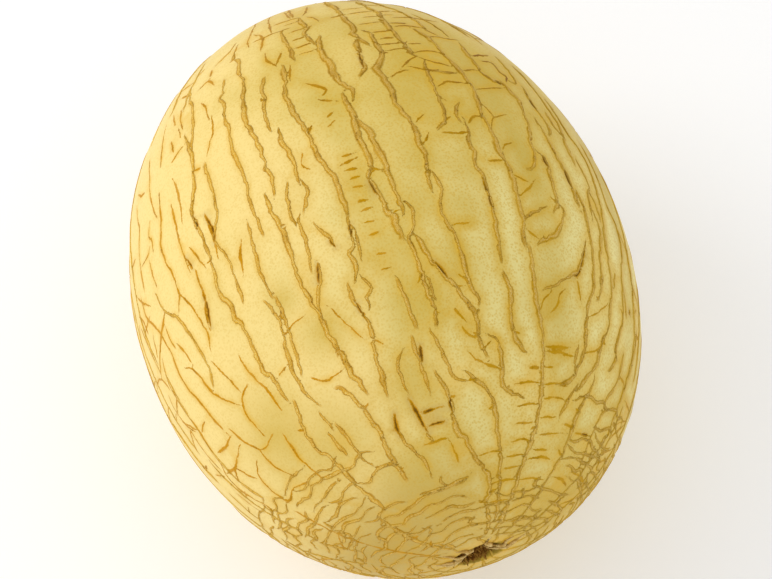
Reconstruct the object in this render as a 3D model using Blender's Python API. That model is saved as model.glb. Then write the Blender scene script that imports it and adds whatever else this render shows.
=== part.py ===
"""A yellow melon with raised cork netting, lying on its side on a small flat spot.

The fruit grew as one piece, so it is one solid: an oval body with a sunken stem scar at one end, a
small blossom scar at the other, and a net of cork that healed the cracks in its skin. Places on the
skin are given as (along, around) in degrees. Along runs from 0 at the stem scar to 180 at the blossom
scar. Around is 0 on top, and grows towards +X. The fruit's length lies near the Y axis, stem to -Y.
"""

import math
import random

import bmesh
import bpy
import numpy as np
from mathutils import kdtree
from mathutils.geometry import delaunay_2d_cdt

NAME = "melon"

# Body, in metres and degrees
GIRTH = 0.160
LENGTH = 0.1958
STEM_FULLNESS = 0.066
SHOULDERS = 0.014
TAPER = 0.014
OVAL = 0.028
OVAL_TURN = -60.0
BOW = -0.0117

# Stem scar, whose middle lies a little off the fruit's long axis, and blossom scar
SCAR_PLACE = (4.3, 170.0)
PIT_RADIUS = 0.0088
PIT_DEPTH = 0.0055
PIT_WALL = 0.0028
PIT_RAGGED = 0.10
PIT_ROUGH = 0.0005
HOLLOW_RADIUS = 0.024
HOLLOW_DEPTH = 0.0016
STUB_RADIUS = 0.0034
STUB_HEIGHT = 0.0026
SCAR_SIDES = 26
SCAR_RINGS = (0.2, 0.36, 0.55, 0.82, 1.0, 1.3, 1.75)
SCAR_CLEAR = 2.0
BLOSSOM_SIDES = 20
BLOSSOM_RINGS = (0.0075, 0.0045, 0.0022)
BLOSSOM_RISE = 0.0007
BLOSSOM_CLEAR = 0.0135

# Flat spot that it rests on
FLAT_DEPTH = 0.0012

# Cork net, a little larger than life so that it shows on few faces
NET_STEP = 0.0070
NET_HALF_WIDTH = 0.0017
NET_RISE = 0.0011
SKIN_STEP = 0.0085
NET_CLEAR = 0.0042
FOOT_CLEAR = 0.8
FINE_PARTS = 12
CREST_PARTS = 16
SEED = 7

CORK_YELLOW = (0.72, 0.55, 0.24, 1.0)
ROUGHNESS = 0.5

# The long cracks on the side that lies uppermost, each as (along, around) points in degrees.
CRACKS = (
    ((131, -47), (123, -43), (116, -42), (108, -42.5), (101, -43.5), (92, -44), (80, -44.5), (69, -42.5),
     (56, -41.5), (46, -43.5), (34, -42), (22, -43)),
    ((106, -39), (97, -38), (91, -40), (83, -39), (75, -40)),
    ((125, -32), (116, -31.5), (105, -31), (96, -29.5), (85, -29.5)),
    ((90, -32), (80, -33), (74, -32.5)),
    ((75, -35), (67, -34), (60, -36.5), (52, -34.5)),
    ((134, -29.5), (127, -27), (119, -25.5), (110, -26.5), (98, -24), (85, -25), (75, -25.5), (60, -23.5),
     (50, -22)),
    ((54, -29), (48, -25), (41, -24), (30, -25.5)),
    ((119, -19.5), (112, -20.5), (104, -19.5), (96, -18), (88, -18), (82, -17.5), (78, -15.5)),
    ((93, -20.5), (88, -22), (81, -21), (74, -22.5), (66, -24)),
    ((68, -21.5), (65, -20), (60, -17)),
    ((134, -12.5), (125, -11.5), (116, -14.5), (108, -15), (101, -13), (92, -11.5), (80, -11), (75, -13),
     (65, -15), (56, -16), (48, -17.5)),
    ((139, -6), (130, -6), (120, -3.5), (109, -1), (103, -2.5), (93, -2), (85, -2.5), (75, -0.5)),
    ((101, -1.5), (94, 0.5), (86, 1), (78, 2), (68, 1), (58, 0.5)),
    ((76, 1.5), (70, 4), (64, 8), (58, 11.5), (50, 12.5)),
    ((125, 11), (116, 11.5), (111, 8), (103, 8.5), (97, 10), (88, 10), (75, 11), (66, 11.5), (60, 12.5)),
    ((151, 10.5), (141, 9), (132, 8), (122, 8), (115, 5.5), (110, 3)),
    ((101, 24.5), (94, 23), (86, 22), (75, 22), (66, 21), (55, 21), (50, 24.5)),
    ((145, 22), (137, 20.5), (130, 19.5), (118, 19), (107, 20), (97, 18.5)),
    ((125, 26), (117, 28.5), (107, 30.5), (95, 29), (84, 30), (74, 29), (60, 29), (48, 30), (36, 29),
     (25, 25.5), (16, 24.5)),
    ((120, 39), (110, 37), (107, 42), (99, 43), (93, 40.5), (87, 38.5)),
    ((91, 41), (85, 42.5), (78, 42), (73, 38), (71, 32)),
    ((99, 46), (90, 48), (80, 51), (70, 51.5), (62, 48.5), (51, 46), (44, 40), (43, 35)),
    ((117, 50), (108, 48), (100, 49.5), (95, 48.5)),
    ((116, 56), (105, 56), (94, 54.5), (89, 55)),
    ((91, 57), (85, 58), (76, 57), (70, 54.5), (62, 51)),
    ((107, 59), (98, 59), (91, 62.5), (80, 60), (70, 58.5), (57, 56.5), (48, 51), (43, 44.5)),
    ((98, 66), (84, 66), (79, 69), (70, 66), (61, 65), (54, 61.5), (48, 59)),
    ((61, 76.5), (52, 74), (40, 72.5), (30, 71), (15, 70.5)),
    ((47, 52), (39, 48), (29, 47.5), (17, 46)),
    ((49, 5), (41, 12.5), (31, 14), (17, 17)),
    ((50, -3), (44, -1), (36, -1), (28, 5.5), (15, 9)),
    ((69, -5), (62, -5), (54, -6), (46, -6)),
    ((56, -9), (52, -12), (45, -12), (37, -11)),
    ((51, -36), (46, -37.5), (38, -36)),
    ((68, -47), (60, -45), (55, -45)),
    ((63, -48.5), (60, -54), (53, -54)),
    ((85, -55.5), (79, -52.5), (71, -55), (63, -52)),
    ((102, -51), (94, -50.5), (84, -48.5), (75, -51)),
    ((119, -62.5), (109, -59.5), (102, -56.5), (95, -57), (86, -55.5)),
    ((104, -60), (94, -63), (86, -62.5), (79, -57.5), (70, -56.5), (66, -59)),
    ((86, -62.5), (83, -67.5), (81, -73), (78, -77.5)),
    ((94, -72), (86, -69.5), (77, -67), (65, -65.5), (58, -64)),
    ((112, -69), (103, -67), (92, -69)),
    ((92, -78), (86, -74), (78, -74), (69, -74.5), (58, -76.5), (53, -80), (44, -77.5)),
    ((74, -64.5), (69, -60.5), (61, -54)),
    ((60, -62.5), (54, -60), (47, -59)),
    ((51, -62.5), (46, -68), (37, -69.5), (27, -70), (16, -69)),
    ((26, -48), (20, -49.5), (14, -51)),
    ((127, -18.5), (121, -16), (114, -15)),
    ((151, -27), (142, -24.5), (132, -24)),
    ((152, -18.5), (140, -17), (135, -19.5), (128, -20)),
    ((153, -8.5), (145, -9.5), (139, -6)),
    ((148, 0.5), (141, -2.5), (134, 0)),
    ((125, -55.5), (118, -54), (112, -50)),
)

# Seeded cracks run in lanes from the blossom end towards the stem. Each stretch has the lanes' places
# around (from, to), and where they start and end along, for every other lane in turn.
STRETCHES = (
    ((76, 286), (156, 24), (132, 46)),
    ((290, 312), (158, 126), (138, 124)),
    ((30, 74), (156, 124), (140, 122)),
)
LANE = 7.2
CRACK_LENGTHS = (16, 52)
CRACK_BREAKS = (2, 7)
LANE_WANDER = 2.6
RUNG_RANGE = (14, 42)
RUNG_STEP = 4.2


def body_points(along, around):
    """Points of the smooth body for arrays of along and around, both in radians."""
    swell = 1 + STEM_FULLNESS * np.cos(along) + SHOULDERS * np.cos(2 * along) + TAPER * np.cos(3 * along)
    oval = OVAL * np.cos(2 * (around - math.radians(OVAL_TURN)))
    radius = GIRTH / 2 * np.sin(along) * (swell + oval)
    bow = BOW * GIRTH / 2 * np.sin(along) ** 2
    return np.stack([
        radius * np.sin(around) + bow,
        -LENGTH / 2 * np.cos(along),
        radius * np.cos(around),
    ], axis=-1)


def to_map(along, around):
    """Lays the skin out flat around the stem, so that small shapes keep their form."""
    reach = np.tan(along / 2)
    return np.stack([reach * np.sin(around), reach * np.cos(around)], axis=-1)


def from_map(flat):
    along = 2 * np.arctan(np.hypot(flat[:, 0], flat[:, 1]))
    around = np.arctan2(flat[:, 0], flat[:, 1])
    return along, around


def spaced(crack, step):
    """The crack's (along, around) in radians at even steps of its length on the body."""
    corners = np.radians(np.array(crack, float))
    fine = np.concatenate([
        np.linspace(start, end, FINE_PARTS, endpoint=False) for start, end in zip(corners, corners[1:])
    ] + [corners[-1:]])
    places = body_points(fine[:, 0], fine[:, 1])
    run = np.concatenate([[0], np.cumsum(np.linalg.norm(np.diff(places, axis=0), axis=1))])
    count = max(2, round(run[-1] / step) + 1)
    even = np.linspace(0, run[-1], count)
    return np.stack([np.interp(even, run, fine[:, 0]), np.interp(even, run, fine[:, 1])], axis=1)


def lane_crack(rng, along, end, lane):
    """A crack that wanders along its lane towards the stem."""
    crack = []
    around = lane + rng.uniform(-LANE_WANDER, LANE_WANDER)
    while along > end:
        crack.append((along, around))
        spread = 1 / math.sin(math.radians(along))
        around += rng.uniform(-1.5, 1.5) * spread + 0.3 * (lane - around)
        along -= rng.uniform(5, 8)
    crack.append((end, around))
    return crack


def hidden_cracks(rng):
    """Long cracks for the sides and the underside, which follow the same habit as those on top."""
    cracks = []
    for places, *reaches in STRETCHES:
        for number, lane in enumerate(np.arange(*places, LANE)):
            top, bottom = reaches[number % 2]
            along = top + rng.uniform(-6, 6)
            while along > bottom + CRACK_BREAKS[1]:
                end = max(bottom, along - rng.uniform(*CRACK_LENGTHS))
                cracks.append(lane_crack(rng, along, end, float(lane)))
                along = end - rng.uniform(*CRACK_BREAKS)
    return cracks


def stem_rungs(rng):
    """Short cross cracks that ring the stem end."""
    rungs = []
    along = RUNG_RANGE[0]
    while along < RUNG_RANGE[1]:
        around = rng.uniform(0, 30)
        while around < 360:
            reach = rng.uniform(14, 34)
            wave = rng.uniform(-0.8, 0.8)
            rungs.append([(along, around), (along + wave, around + reach / 2), (along - wave, around + reach)])
            around += reach + rng.uniform(8, 30)
        along += RUNG_STEP
    return rungs


def foot_rows(way, half_width):
    """The two rows of points beside a crack where its cork meets the skin."""
    places = to_map(way[:, 0], way[:, 1])
    run = np.gradient(places, axis=0)
    side = np.stack([-run[:, 1], run[:, 0]], axis=1)
    side /= np.linalg.norm(side, axis=1, keepdims=True)
    scale = 1 / (2 * np.cos(way[:, 0] / 2) ** 2)
    offset = side * (scale * half_width / (GIRTH / 2))[:, None]
    inner = slice(1, -1)
    return np.concatenate([places[inner] + offset[inner], places[inner] - offset[inner]])


def even_skin(step):
    """Points spread evenly over the whole body, by the golden angle."""
    count = round(4 * math.pi * (GIRTH / 2) ** 2 * 1.12 / (0.87 * step ** 2))
    number = np.arange(count) + 0.5
    along = np.arccos(1 - 2 * number / count)
    around = number * math.pi * (3 - math.sqrt(5))
    return np.stack([along, around], axis=1)


def scar_ring(radius):
    """A ring of map points about the stem scar."""
    around = np.arange(SCAR_SIDES) * 2 * math.pi / SCAR_SIDES
    return to_map(np.full(SCAR_SIDES, radius / (GIRTH / 2)), around) + to_map(*np.radians(SCAR_PLACE))


def blossom_ring(radius):
    """A ring of map points about the blossom end."""
    around = np.arange(BLOSSOM_SIDES) * 2 * math.pi / BLOSSOM_SIDES
    return to_map(np.full(BLOSSOM_SIDES, math.pi - radius / (GIRTH / 2)), around)


def from_scar(place):
    """The distance of a place on the smooth body from the middle of the stem scar."""
    return math.dist(place, body_points(*np.radians(SCAR_PLACE)))


def tree_of(points):
    tree = kdtree.KDTree(len(points))
    for index, point in enumerate(points):
        tree.insert(point, index)
    tree.balance()
    return tree


def net_map(ways):
    """All map points and the edges that the faces have to follow: cracks, scar rings and even skin."""
    points, edges = [], []
    for way in ways:
        first = len(points)
        points += list(to_map(way[:, 0], way[:, 1]))
        edges += [(index, index + 1) for index in range(first, len(points) - 1)]
    crests = tree_of([body_points(along, around) for way in ways for along, around in spaced_rows(way)])
    candidates = [foot_rows(way, NET_HALF_WIDTH) for way in ways if len(way) > 2]
    for flat in np.concatenate(candidates):
        place = body_points(*from_map(flat[None]))[0]
        clear_of_scar = from_scar(place) > SCAR_CLEAR * PIT_RADIUS
        if clear_of_scar and crests.find(place)[2] > FOOT_CLEAR * NET_HALF_WIDTH:
            points.append(flat)
    for share in SCAR_RINGS:
        points += list(scar_ring(share * PIT_RADIUS))
    for along, around in even_skin(SKIN_STEP):
        place = body_points(along, around)
        clear_of_scar = from_scar(place) > SCAR_CLEAR * PIT_RADIUS
        clear_of_blossom = (math.pi - along) * GIRTH / 2 > BLOSSOM_CLEAR
        if clear_of_scar and clear_of_blossom and crests.find(place)[2] > NET_CLEAR:
            points.append(to_map(along, around))
    first = len(points)
    points += list(blossom_ring(BLOSSOM_RINGS[0]))
    edges += [(first + side, first + (side + 1) % BLOSSOM_SIDES) for side in range(BLOSSOM_SIDES)]
    return points, edges


def spaced_rows(way):
    """A way's own points and those between them, close enough to measure distances from."""
    rows = []
    for start, end in zip(way, way[1:]):
        rows += [start + (end - start) * part / CREST_PARTS for part in range(CREST_PARTS)]
    return rows + [way[-1]]


def skin_mesh(points, edges):
    """Joins the map points into faces, folds them onto the body and closes the blossom end."""
    flat, _, faces = delaunay_2d_cdt([tuple(map(float, p)) for p in points], edges, [], 0, 1e-9, False)[:3]
    along, around = from_map(np.array(flat))
    mesh = bmesh.new()
    corners = [mesh.verts.new(place) for place in body_points(along, around)]
    for face in faces:
        mesh.faces.new([corners[index] for index in face])
    edge = sorted(
        (corner for corner in corners if corner.is_boundary),
        key=lambda corner: math.atan2(corner.co.x, corner.co.z),
    )
    for radius in BLOSSOM_RINGS[1:]:
        near = math.pi - radius / (GIRTH / 2)
        turns = [math.atan2(corner.co.x, corner.co.z) for corner in edge]
        inner = [mesh.verts.new(body_points(near, turn)) for turn in turns]
        for side in range(len(edge)):
            after = (side + 1) % len(edge)
            mesh.faces.new([edge[side], edge[after], inner[after], inner[side]])
        edge = inner
    mesh.faces.new(edge)
    bmesh.ops.recalc_face_normals(mesh, faces=mesh.faces)
    return mesh


def lift_of(from_stem, from_blossom, crest_gap, ragged):
    """How far a point of the skin stands out from the smooth body."""
    rim = PIT_RADIUS * (1 + PIT_RAGGED * ragged)
    lift = NET_RISE * max(0.0, 1 - crest_gap / NET_HALF_WIDTH)
    if from_stem < HOLLOW_RADIUS:
        lift -= HOLLOW_DEPTH * math.cos(math.pi / 2 * from_stem / HOLLOW_RADIUS) ** 2
    if from_stem < rim:
        lift = -HOLLOW_DEPTH - PIT_DEPTH * min(1.0, (rim - from_stem) / PIT_WALL) + PIT_ROUGH * ragged
    if from_stem < STUB_RADIUS:
        lift += STUB_HEIGHT
    if from_blossom < (BLOSSOM_RINGS[0] + BLOSSOM_RINGS[1]) / 2:
        lift += BLOSSOM_RISE
    return lift


def raise_net(mesh, ways, rng):
    crests = tree_of([body_points(along, around) for way in ways for along, around in spaced_rows(way)])
    mesh.normal_update()
    blossom_end = body_points(math.pi, 0.0)
    moves = []
    for corner in mesh.verts:
        crest_gap = crests.find(corner.co)[2]
        from_blossom = math.dist(corner.co, blossom_end)
        lift = lift_of(from_scar(corner.co), from_blossom, crest_gap, rng.uniform(-1, 1))
        moves.append(corner.normal * lift)
    for corner, move in zip(mesh.verts, moves):
        corner.co += move


def lay_down(mesh):
    """Stands the body on z = 0 with its underside pressed to a small flat, and centres it."""
    along, around = np.meshgrid(np.radians(np.arange(60, 121)), np.radians(np.arange(140, 221)))
    lowest = body_points(along, around)[..., 2].min()
    for corner in mesh.verts:
        corner.co.z = max(0.0, corner.co.z - lowest - FLAT_DEPTH)
    for axis in range(2):
        places = [corner.co[axis] for corner in mesh.verts]
        middle = (min(places) + max(places)) / 2
        for corner in mesh.verts:
            corner.co[axis] -= middle


def skin_material():
    material = bpy.data.materials.new("netted_skin")
    material.use_nodes = True
    shader = material.node_tree.nodes["Principled BSDF"]
    shader.inputs["Base Color"].default_value = CORK_YELLOW
    shader.inputs["Roughness"].default_value = ROUGHNESS
    shader.inputs["Metallic"].default_value = 0.0
    material.diffuse_color = CORK_YELLOW
    return material


def build_melon(collection):
    rng = random.Random(SEED)
    cracks = list(CRACKS) + hidden_cracks(rng) + stem_rungs(rng)
    ways = [spaced(crack, NET_STEP) for crack in cracks]
    points, edges = net_map(ways)
    shape = skin_mesh(points, edges)
    raise_net(shape, ways, rng)
    lay_down(shape)
    bmesh.ops.triangulate(shape, faces=shape.faces)
    mesh = bpy.data.meshes.new(NAME)
    shape.to_mesh(mesh)
    shape.free()
    mesh.shade_smooth()
    mesh.materials.append(skin_material())
    melon = bpy.data.objects.new(NAME, mesh)
    collection.objects.link(melon)


def main():
    for old in list(bpy.data.objects):
        bpy.data.objects.remove(old)
    collection = bpy.data.collections.new(NAME)
    bpy.context.scene.collection.children.link(collection)
    build_melon(collection)


main()
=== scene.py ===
"""The looks of a netted melon: cracked skin healed with raised cork, a fibrous stem scar, and soft light.

Places on the skin are (along, around) in degrees. Along runs from 0 at the stem scar to 180 at the
blossom scar, and around is 0 on top and grows towards +X. Lengths are in metres.
"""

import math
import random

import bmesh
import bpy
import numpy as np
from mathutils import Matrix, Vector, kdtree
from mathutils.geometry import delaunay_2d_cdt


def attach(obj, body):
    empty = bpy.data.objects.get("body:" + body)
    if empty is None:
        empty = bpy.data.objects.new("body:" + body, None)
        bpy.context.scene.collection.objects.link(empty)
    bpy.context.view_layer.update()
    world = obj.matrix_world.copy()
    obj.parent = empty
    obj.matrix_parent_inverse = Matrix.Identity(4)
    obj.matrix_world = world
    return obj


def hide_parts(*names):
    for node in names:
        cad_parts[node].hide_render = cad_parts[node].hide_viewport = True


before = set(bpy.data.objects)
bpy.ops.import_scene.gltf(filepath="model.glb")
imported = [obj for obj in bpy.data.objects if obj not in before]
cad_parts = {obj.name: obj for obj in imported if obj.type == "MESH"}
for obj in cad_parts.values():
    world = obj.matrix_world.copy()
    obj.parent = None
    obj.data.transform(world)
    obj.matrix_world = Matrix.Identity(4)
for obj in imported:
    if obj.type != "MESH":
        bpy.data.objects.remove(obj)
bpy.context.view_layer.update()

# Body, as in the part's own source
GIRTH = 0.160
LENGTH = 0.1958
STEM_FULLNESS = 0.066
SHOULDERS = 0.014
TAPER = 0.014
OVAL = 0.028
OVAL_TURN = -60.0
BOW = -0.0117
FLAT_DEPTH = 0.0012
SEED = 7

# Camera: azimuth and height in degrees, and the pixel of the body's centre in a 772 by 579 picture
PICTURE = (772, 579)
CAMERA_AZIMUTH = -17.30
CAMERA_HEIGHT = 63.22
CAMERA_DISTANCE = 0.95
FOCAL_PIXELS = 2947.2
CENTRE_PIXEL = (383.83, 281.78)
SENSOR = 36.0

# Stem scar, whose middle lies a little off the fruit's long axis. Cracks near it are laid out round the scar
# up to the first of SCAR_PULL's degrees along, and round the long axis from the second.
SCAR_PLACE = (4.3, 170.0)
SCAR_PULL = (9.0, 34.0)
PIT_RADIUS = 0.0086
PIT_DEPTH = 0.0056
PIT_RAGGEDNESS = 0.13
PIT_WALL = 0.30
PIT_CRUMBS = 0.0006
HOLLOW_RADIUS = 0.024
HOLLOW_DEPTH = 0.0016

# Blossom scar, with a small rim
BLOSSOM_RADIUS = 0.0050
BLOSSOM_RIM_HEIGHT = 0.0005
BLOSSOM_RIM_WIDTH = 0.0011

# Torn strands that stand in one clump in the stem scar. Their roots are sunk into its floor.
FIBRES = 240
CLUMP_MIDDLE = (-0.0016, -0.0024)
CLUMP_RADIUS = 0.0057
FIBRE_ROOT = 0.0006
FIBRE_LEAN = 0.0020
FIBRE_RISES = (0.0034, 0.0062)
FIBRE_TIP_SPREAD = 0.0006
FIBRE_RADII = (0.00026, 0.00055)
FIBRE_TAPER = (1.0, 0.8, 0.35)

# Cork ropes over the upper half of the scar's rim, at these turns in degrees. Each point of their course has
# its share of the way from ROPE_EDGE out to the rope's start, both in radii of the scar, and its depth below
# the hollow's skin.
ROPE_TURNS = (-98, -80, -58, -30, 12, 60, 80)
ROPE_WANDER = 10
ROPE_STARTS = (1.35, 1.95)
ROPE_EDGE = 0.87
ROPE_COURSE = (
    (1.0, 0.0004), (0.7, 0.0), (0.35, -0.0005), (0.05, -0.0006), (-0.25, -0.0001), (-0.55, 0.0012),
)
ROPE_RADII = (0.00040, 0.00078)
ROPE_SWELL = (0.35, 0.7, 1.0, 1.1, 0.9, 0.4)
STRAND_SIDES = 6

# The cracks of the shown side, from broad cork cords to thin lines, by the points that each one needs
BROAD = (
    ((125, 26), (120.5, 28.5), (117, 28.5), (113, 29), (110, 30), (105, 30.5), (102, 30), (98.5, 29),
     (93, 29.5), (89, 29.5), (86, 30.5), (80, 30), (75.5, 30), (74, 29), (70, 28.5)),
    ((71.5, 30), (66.5, 29.5), (60.5, 29), (55, 30), (48, 30), (40, 29.5), (35.5, 29), (30, 27),
     (25, 25.5), (20.5, 25), (15, 24.5), (6.5, 24.5)),
    ((151.5, 10.5), (145.5, 9), (141.5, 9), (137.5, 8.5), (132, 8), (126.5, 8.5), (125, 7), (122.5, 8),
     (119.5, 9.5)),
    ((122.5, 7), (119, 6), (115, 5.5), (112.5, 5), (110.5, 3)),
    ((125.5, 10.5), (124, 12), (120, 11.5), (116.5, 11.5), (113, 9), (112, 8), (109, 8.5), (105, 9),
     (102.5, 8.5), (98.5, 10), (95, 10.5), (93.5, 10), (90, 10.5), (87, 9.5), (83, 9)),
    ((145, 22), (140.5, 20.5), (136.5, 20.5), (133, 21), (130.5, 19.5), (126.5, 19), (122, 19),
     (118.5, 19), (115, 19.5), (114.5, 21)),
    ((120.5, -14.5), (115.5, -14.5), (112, -15.5), (108, -15), (104.5, -14), (101, -13), (96.5, -12.5),
     (92.5, -11.5), (90, -10.5), (82.5, -10.5)),
    ((127, -2), (125, -3), (120, -3.5), (116, -2.5), (112, -2.5), (109, -1), (108, 0), (105.5, -0.5)),
    ((108, -2), (106, -2.5), (102, -2), (98, -2.5), (93, -2), (90, -2.5), (88, -3.5), (85, -2.5),
     (81, -2), (80.5, -1), (78, -1), (75, -0.5)),
    ((101, -1.5), (97.5, 0), (94, 0.5), (90, 1), (86, 1), (80, 1.5)),
)
CORDS = (
    ((82, 2.5), (80, 3.5), (77.5, 2.5), (76, 1.5), (75, 0.5), (72.5, 1), (68, 1), (64.5, 1), (61.5, 1.5),
     (58, 0.5)),
    ((76, 1.5), (74, 3), (70.5, 4), (68, 5.5), (64.5, 8), (61, 10), (59, 11.5), (55, 11), (52, 11.5),
     (50, 12.5)),
    ((87, 10.5), (83.5, 11.5), (80, 10), (77.5, 10), (74.5, 11), (70, 11.5), (65, 11.5), (62, 13),
     (60, 12.5)),
    ((97, 23.5), (94, 23), (91, 22), (90, 23), (87.5, 21.5), (85, 22.5), (81.5, 22.5), (79.5, 22.5),
     (75, 22), (71.5, 21.5), (68, 21)),
    ((66.5, 20.5), (63, 22), (58.5, 21), (55, 21), (52.5, 22), (50.5, 24.5)),
    ((113, 22), (110.5, 20.5), (107, 20), (103, 19.5), (100, 19.5), (97, 18.5), (95, 15)),
    ((120.5, 39), (116, 37.5), (112, 37.5), (110.5, 37), (108, 39), (107.5, 42), (105, 43), (103, 44),
     (99.5, 43), (97, 42.5), (93, 40.5), (90, 40), (87.5, 38.5), (86.5, 36)),
    ((91, 41), (89, 43), (85, 42.5), (80, 42), (77.5, 39.5)),
    ((80, 42.5), (78.5, 43.5), (76, 42), (73.5, 39), (72.5, 36), (71, 32)),
    ((99.5, 46), (95, 47), (90, 48), (86.5, 49), (83, 49.5), (79.5, 50)),
    ((83.5, 51), (80, 52), (75, 51.5), (70.5, 51.5), (66.5, 50.5), (63.5, 50), (61.5, 48), (57.5, 46.5),
     (51.5, 46), (47.5, 43.5), (45.5, 42), (44.5, 40), (44, 36)),
    ((117.5, 50), (113, 49.5), (108.5, 48), (108.5, 46)),
    ((108, 50), (104, 49), (100.5, 49.5), (97.5, 50.5), (95, 48.5)),
    ((116, 56), (110.5, 56), (105, 56), (100.5, 56.5), (96.5, 55.5), (94, 54.5), (89, 55)),
    ((80, 56), (76, 57), (70.5, 54.5), (66.5, 54), (62.5, 52.5), (61.5, 50.5)),
    ((107, 59), (98.5, 59), (95.5, 61), (91.5, 62.5), (83, 61), (79.5, 60), (74.5, 58.5), (69, 58.5),
     (66, 59), (61.5, 57.5), (57, 56.5), (54, 54), (50, 52.5), (48.5, 52), (46, 48), (44.5, 47), (43, 44.5)),
    ((98, 66), (90, 66.5), (84, 66), (80, 69.5), (75, 69), (70.5, 66), (67, 65.5), (61, 65), (57.5, 63.5),
     (54, 61.5), (52, 62), (50, 61), (48.5, 59)),
    ((47, 52), (45, 52), (42, 50), (39, 48), (36, 47.5), (29, 47.5), (25.5, 46.5), (22.5, 46), (14, 47),
     (7, 48)),
    ((49, 5), (47, 7.5), (44, 11), (41, 12.5), (35.5, 13), (31.5, 14), (25, 14.5), (18, 16), (12, 18)),
    ((50.5, -3), (47.5, -2), (44.5, -1), (39.5, -1.5), (36.5, -1), (35.5, 1), (32.5, 2), (28, 5.5),
     (25, 9), (21, 9), (18.5, 7.5), (15, 9), (12.5, 11.5), (7, 12)),
    ((55, 13.5), (54, 15.5), (50.5, 16.5), (45, 16), (43, 18.5), (41.5, 24)),
    ((134, -29.5), (130.5, -29), (128.5, -27), (124.5, -27), (120.5, -25.5), (116.5, -26), (110, -26.5),
     (106.5, -25.5), (102.5, -24.5), (97.5, -24), (94, -23.5), (91, -24.5)),
    ((93, -26), (88.5, -26), (85, -25), (80, -25), (75.5, -25.5), (70.5, -25), (67, -24), (63.5, -24.5),
     (60, -23.5), (55.5, -23.5), (53, -22.5), (50, -22)),
    ((54, -29), (53, -27), (48, -25), (45.5, -24.5), (41.5, -24), (38, -25.5), (35.5, -25), (33, -25.5),
     (30, -25.5)),
    ((82.5, -10.5), (80, -11), (77, -11.5), (76, -13), (73.5, -12.5), (70.5, -14)),
    ((134, -12.5), (130, -12.5), (125.5, -11.5), (120.5, -11)),
    ((139.5, -6), (135, -5.5), (132, -4.5), (129.5, -6), (124, -4)),
    ((104.5, -19), (100.5, -19), (96.5, -18), (91.5, -18.5)),
    ((119, -19.5), (115.5, -21), (112.5, -20.5), (110, -21.5), (104.5, -21)),
    ((93, -20.5), (90.5, -21.5), (88, -22), (84, -22)),
    ((65, -15), (62.5, -14.5), (59.5, -15), (56.5, -16), (52.5, -16.5), (48.5, -17.5)),
    ((69, -5), (65, -4.5), (58.5, -4)),
    ((56.5, -40.5), (53.5, -41), (50, -43), (45.5, -43.5), (43, -42), (39.5, -41.5), (34.5, -42), (27, -42)),
    ((116.5, -45), (113, -44), (109, -42.5), (105.5, -42.5), (101, -43.5), (98, -45), (92, -44),
     (86.5, -43.5), (83, -44), (80, -44.5), (77.5, -43), (74.5, -43.5), (73, -42.5), (69, -42.5), (63, -43),
     (62, -42), (56, -42)),
    ((26.5, -48), (23, -49), (19.5, -49.5), (17, -51), (12, -52), (6.5, -52)),
    ((61, 76.5), (56, 76), (52, 74), (47.5, 73), (39.5, 72.5), (37, 73.5), (33, 72), (30, 71), (25, 70.5),
     (18.5, 70), (15, 70.5), (7, 70)),
    ((54, 86), (46, 87), (38, 87), (30, 88), (20, 87), (8, 86)),
)
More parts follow.
